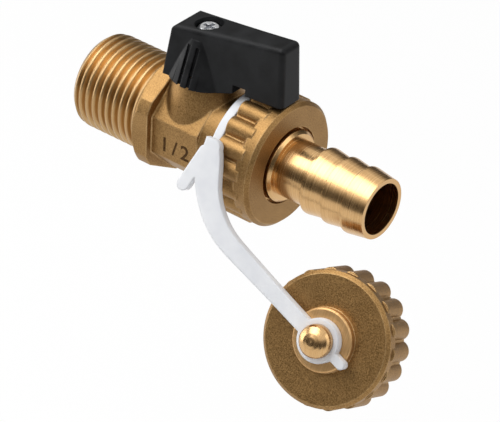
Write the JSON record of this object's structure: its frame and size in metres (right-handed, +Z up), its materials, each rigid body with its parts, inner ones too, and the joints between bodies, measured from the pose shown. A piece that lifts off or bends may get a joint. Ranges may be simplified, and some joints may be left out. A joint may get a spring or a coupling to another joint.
{
  "type": "drain cock",
  "caption": "Brass ball-type drain cock with a threaded inlet, black lever, ribbed union nut with barbed hose tail, and a ribbed cap held by a white strap.",
  "frame": {"origin": "on the valve's axis, where the inlet thread meets the six-sided collar", "axes": "+X along the flow from the inlet thread to the hose tail, +Z up along the stem to the lever"},
  "size_m": [0.091, 0.0407, 0.0653],
  "materials": {
    "forged_brass": "matte blasted forging",
    "turned_brass": "bright turned",
    "lever_plastic": "satin moulded",
    "strap_plastic": "soft white moulded",
    "screw_steel": "zinc plated",
    "ball_chrome": "polished",
    "seal_rubber": "matte",
    "seat_plastic": "smooth"
  },
  "bodies": {
    "valve": {"valve_body": "forged_brass", "inlet_seat": "seat_plastic", "outlet_seat": "seat_plastic", "seat_retainer": "turned_brass"},
    "lever": {"lever": "lever_plastic", "screw_washer": "screw_steel", "lever_screw": "screw_steel", "stem": "turned_brass", "stem_washer": "seat_plastic", "stem_seal_lower": "seal_rubber", "stem_seal_upper": "seal_rubber", "ball": "ball_chrome"},
    "tail": {"hose_tail": "turned_brass", "tail_gasket": "seal_rubber"},
    "nut": {"union_nut": "forged_brass"},
    "strap": {"strap": "strap_plastic"},
    "cap": {"cap": "forged_brass", "cap_gasket": "seal_rubber"}
  },
  "joints": [
    {"name": "lever_turn", "type": "hinge", "parent": "valve", "child": "lever", "pos_m": [0.01025, 0, 0], "axis": [0, 0, 1], "range_deg": [0, 90]},
    {"name": "tail_slide", "type": "slide", "parent": "valve", "child": "tail", "axis": [1, 0, 0], "range_m": [0, 0.0055]},
    {"name": "nut_screw", "type": "hinge", "parent": "tail", "child": "nut", "pos_m": [0.028, 0, 0], "axis": [1, 0, 0], "range_deg": [0, 1080]},
    {"name": "strap_swing", "type": "hinge", "parent": "valve", "child": "strap", "pos_m": [0.0219, 0, 0], "axis": [1, 0, 0], "range_deg": [-30, 180]},
    {"name": "cap_spin", "type": "hinge", "parent": "strap", "child": "cap", "pos_m": [0.05934, -0.02249, -0.01913], "axis": [0.1219, -0.8844, 0.4506], "continuous": true}
  ],
  "couplings": [
    {"joint": "tail_slide", "follows": "nut_screw", "m_per_rad": 0.00028871}
  ]
}
